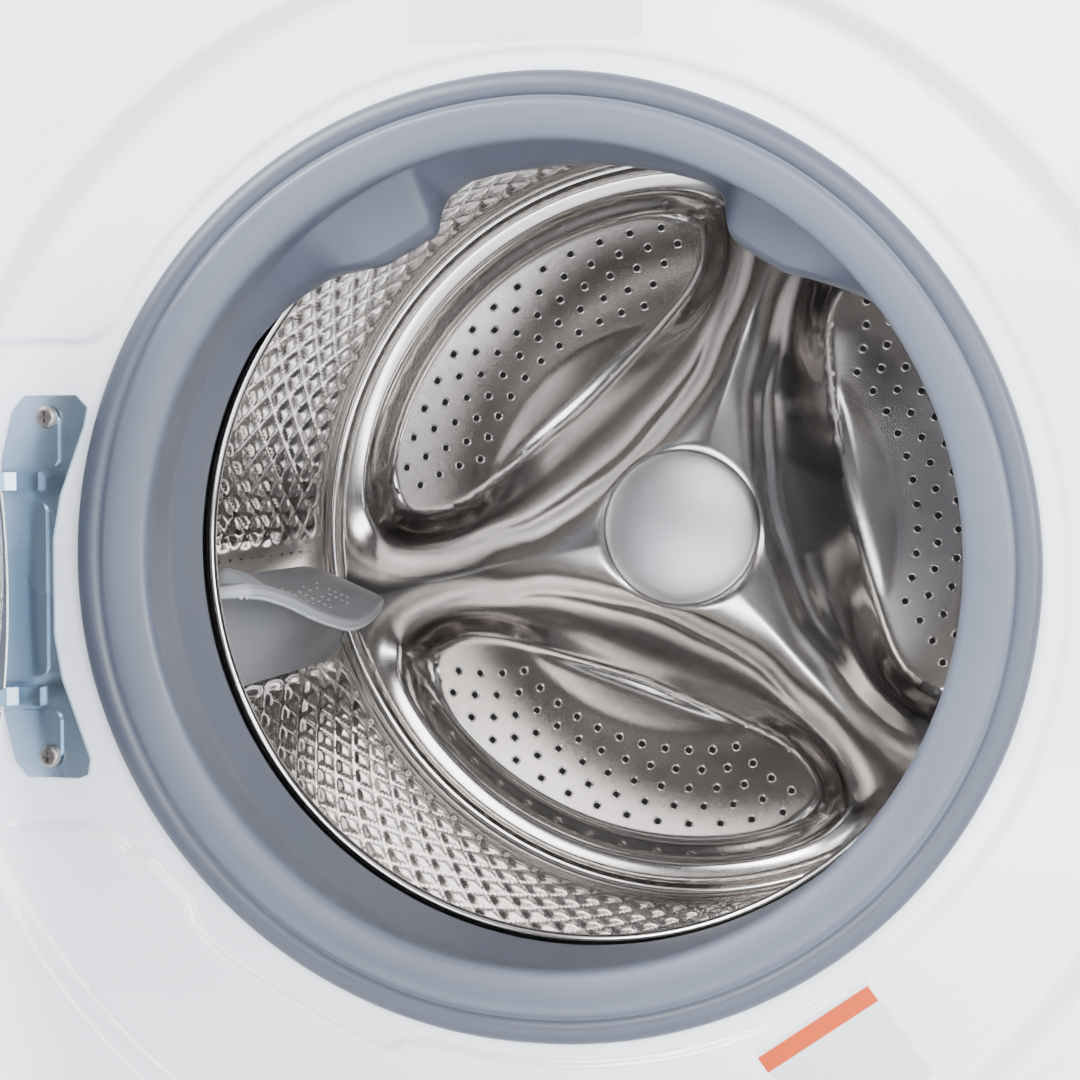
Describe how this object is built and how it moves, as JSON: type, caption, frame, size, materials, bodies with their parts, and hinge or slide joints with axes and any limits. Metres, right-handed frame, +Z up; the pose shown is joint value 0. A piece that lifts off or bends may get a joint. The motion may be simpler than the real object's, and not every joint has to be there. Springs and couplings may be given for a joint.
{
  "type": "front load washing machine",
  "caption": "Full-size front loading washer: steel cabinet, perforated drum with paddles, rubber door seal, round hinged door, detergent drawer, pump and direct drive motor.",
  "frame": {"origin": "on the floor, at the centre of the four levelling feet", "axes": "+X to the right seen from the front, +Y from the front to the back, +Z up"},
  "size_m": [0.688, 1.3029, 0.983],
  "materials": {
    "cabinet_white": "smooth white enamel",
    "panel_white": "high gloss white enamel, very slightly blue",
    "lid_white": "gloss white moulding",
    "fascia_white": "gloss white moulding",
    "display_black": "dark tinted window",
    "board_green": "circuit board lacquer",
    "button_grey": "satin grey keys",
    "knob_silver": "satin chrome dial",
    "drawer_white": "gloss white moulding",
    "tray_blue_grey": "moulded plastic",
    "seal_grey": "blue grey rubber with a soft sheen",
    "drum_steel": "mirror bright stainless steel",
    "cap_steel": "satin stainless steel",
    "lifter_grey": "translucent grey moulding",
    "zinc": "blue passivated zinc plate",
    "screw_steel": "plated steel screw",
    "door_white": "gloss white moulding",
    "door_grey": "dark grey moulding",
    "door_glass": "clear pressed glass",
    "door_cover": "smoked clear moulding",
    "hook_black": "black moulding",
    "tub_plastic": "glass filled plastic",
    "concrete": "cast concrete",
    "aluminium_cast": "die cast aluminium",
    "shaft_steel": "ground steel",
    "copper_winding": "lacquered copper windings on steel teeth",
    "rotor_steel": "galvanised steel cup",
    "black_rubber": "black rubber",
    "galvanised": "galvanised sheet",
    "pump_plastic": "moulded plastic",
    "spring_steel": "oiled spring steel"
  },
  "bodies": {
    "cabinet": {"cabinet_shell": "cabinet_white", "base_frame": "galvanised", "top_panel": "lid_white", "front_panel": "panel_white", "rear_cover": "galvanised", "panel_screws": "screw_steel", "control_fascia": "fascia_white", "display_window": "display_black", "control_board": "board_green", "drawer_housing": "tub_plastic", "inlet_valves": "tray_blue_grey", "drain_outlet": "pump_plastic", "cord_gland": "black_rubber", "pump_body": "pump_plastic", "door_seal": "seal_grey", "seal_clamp": "shaft_steel", "tub_front": "tub_plastic", "tub_rear": "tub_plastic", "tub_screws": "screw_steel", "counterweights": "concrete", "shaft_bearings": "shaft_steel", "motor_stator": "copper_winding", "suspension_springs": "spring_steel", "damper_cylinder_left": "pump_plastic", "damper_cylinder_right": "pump_plastic", "damper_rod_left": "tray_blue_grey", "damper_rod_right": "tray_blue_grey", "tub_hoses": "black_rubber", "hinge_plate": "zinc", "hinge_screws": "screw_steel", "door_lock": "hook_black", "foot_lock_nuts": "screw_steel"},
    "door": {"door_outer_ring": "door_white", "door_cover": "door_cover", "door_inner_ring": "door_grey", "door_glass": "door_glass", "door_hinge_leaf": "zinc"},
    "latch": {"door_hook": "hook_black"},
    "drum": {"drum_wall": "drum_steel", "drum_front_ring": "drum_steel", "drum_back": "drum_steel", "hub_cap": "cap_steel", "drum_spider": "aluminium_cast", "drum_shaft": "shaft_steel", "drum_lifters": "lifter_grey", "motor_rotor": "rotor_steel"},
    "drawer": {"drawer_front": "drawer_white", "drawer_tray": "tray_blue_grey"},
    "knob": {"cycle_knob": "knob_silver"},
    "start": {"start_button": "button_grey"},
    "power": {"power_button": "button_grey"},
    "option_1": {"option_button_1": "button_grey"},
    "option_2": {"option_button_2": "button_grey"},
    "flap": {"filter_flap": "fascia_white"},
    "filter": {"filter_cap": "door_grey"},
    "impeller": {"pump_impeller": "tray_blue_grey"},
    "foot_fl": {"foot_front_left": "black_rubber"},
    "foot_fr": {"foot_front_right": "black_rubber"},
    "foot_rl": {"foot_rear_left": "black_rubber"},
    "foot_rr": {"foot_rear_right": "black_rubber"}
  },
  "joints": [
    {"name": "door_swing", "type": "hinge", "parent": "cabinet", "child": "door", "pos_m": [-0.276, -0.364, 0.463], "axis": [0, 0, 1], "range_deg": [-28, 92]},
    {"name": "door_latch", "type": "hinge", "parent": "door", "child": "latch", "pos_m": [-0.28881, -0.90288, 0.46], "axis": [0, 0, -1], "range_deg": [0, 5], "stiffness_Nm_per_rad": 1},
    {"name": "drum_spin", "type": "hinge", "parent": "cabinet", "child": "drum", "pos_m": [0, 0, 0.48], "axis": [0, 1, 0], "continuous": true},
    {"name": "drawer_pull", "type": "slide", "parent": "cabinet", "child": "drawer", "axis": [0, -1, 0], "range_m": [0, 0.22]},
    {"name": "knob_turn", "type": "hinge", "parent": "cabinet", "child": "knob", "pos_m": [0, -0.362, 0.907], "axis": [0, 1, 0], "continuous": true},
    {"name": "flap_open", "type": "hinge", "parent": "cabinet", "child": "flap", "pos_m": [-0.24, -0.343, 0.054], "axis": [1, 0, 0], "range_deg": [0, 90]},
    {"name": "filter_twist", "type": "hinge", "parent": "cabinet", "child": "filter", "pos_m": [-0.24, -0.33, 0.095], "axis": [0, 1, 0], "range_deg": [-100, 0]},
    {"name": "impeller_spin", "type": "hinge", "parent": "cabinet", "child": "impeller", "pos_m": [-0.24, -0.22, 0.095], "axis": [0, 1, 0], "continuous": true},
    {"name": "start_press", "type": "slide", "parent": "cabinet", "child": "start", "axis": [0, 1, 0], "range_m": [0, 0.002], "stiffness_N_per_m": 500},
    {"name": "power_press", "type": "slide", "parent": "cabinet", "child": "power", "axis": [0, 1, 0], "range_m": [0, 0.0015], "stiffness_N_per_m": 500},
    {"name": "option_1_press", "type": "slide", "parent": "cabinet", "child": "option_1", "axis": [0, 1, 0], "range_m": [0, 0.0015], "stiffness_N_per_m": 500},
    {"name": "option_2_press", "type": "slide", "parent": "cabinet", "child": "option_2", "axis": [0, 1, 0], "range_m": [0, 0.0015], "stiffness_N_per_m": 500},
    {"name": "foot_fl_level", "type": "slide", "parent": "cabinet", "child": "foot_fl", "axis": [0, 0, -1], "range_m": [0, 0.015]},
    {"name": "foot_fr_level", "type": "slide", "parent": "cabinet", "child": "foot_fr", "axis": [0, 0, -1], "range_m": [0, 0.015]},
    {"name": "foot_rl_level", "type": "slide", "parent": "cabinet", "child": "foot_rl", "axis": [0, 0, -1], "range_m": [0, 0.015]},
    {"name": "foot_rr_level", "type": "slide", "parent": "cabinet", "child": "foot_rr", "axis": [0, 0, -1], "range_m": [0, 0.015]}
  ]
}
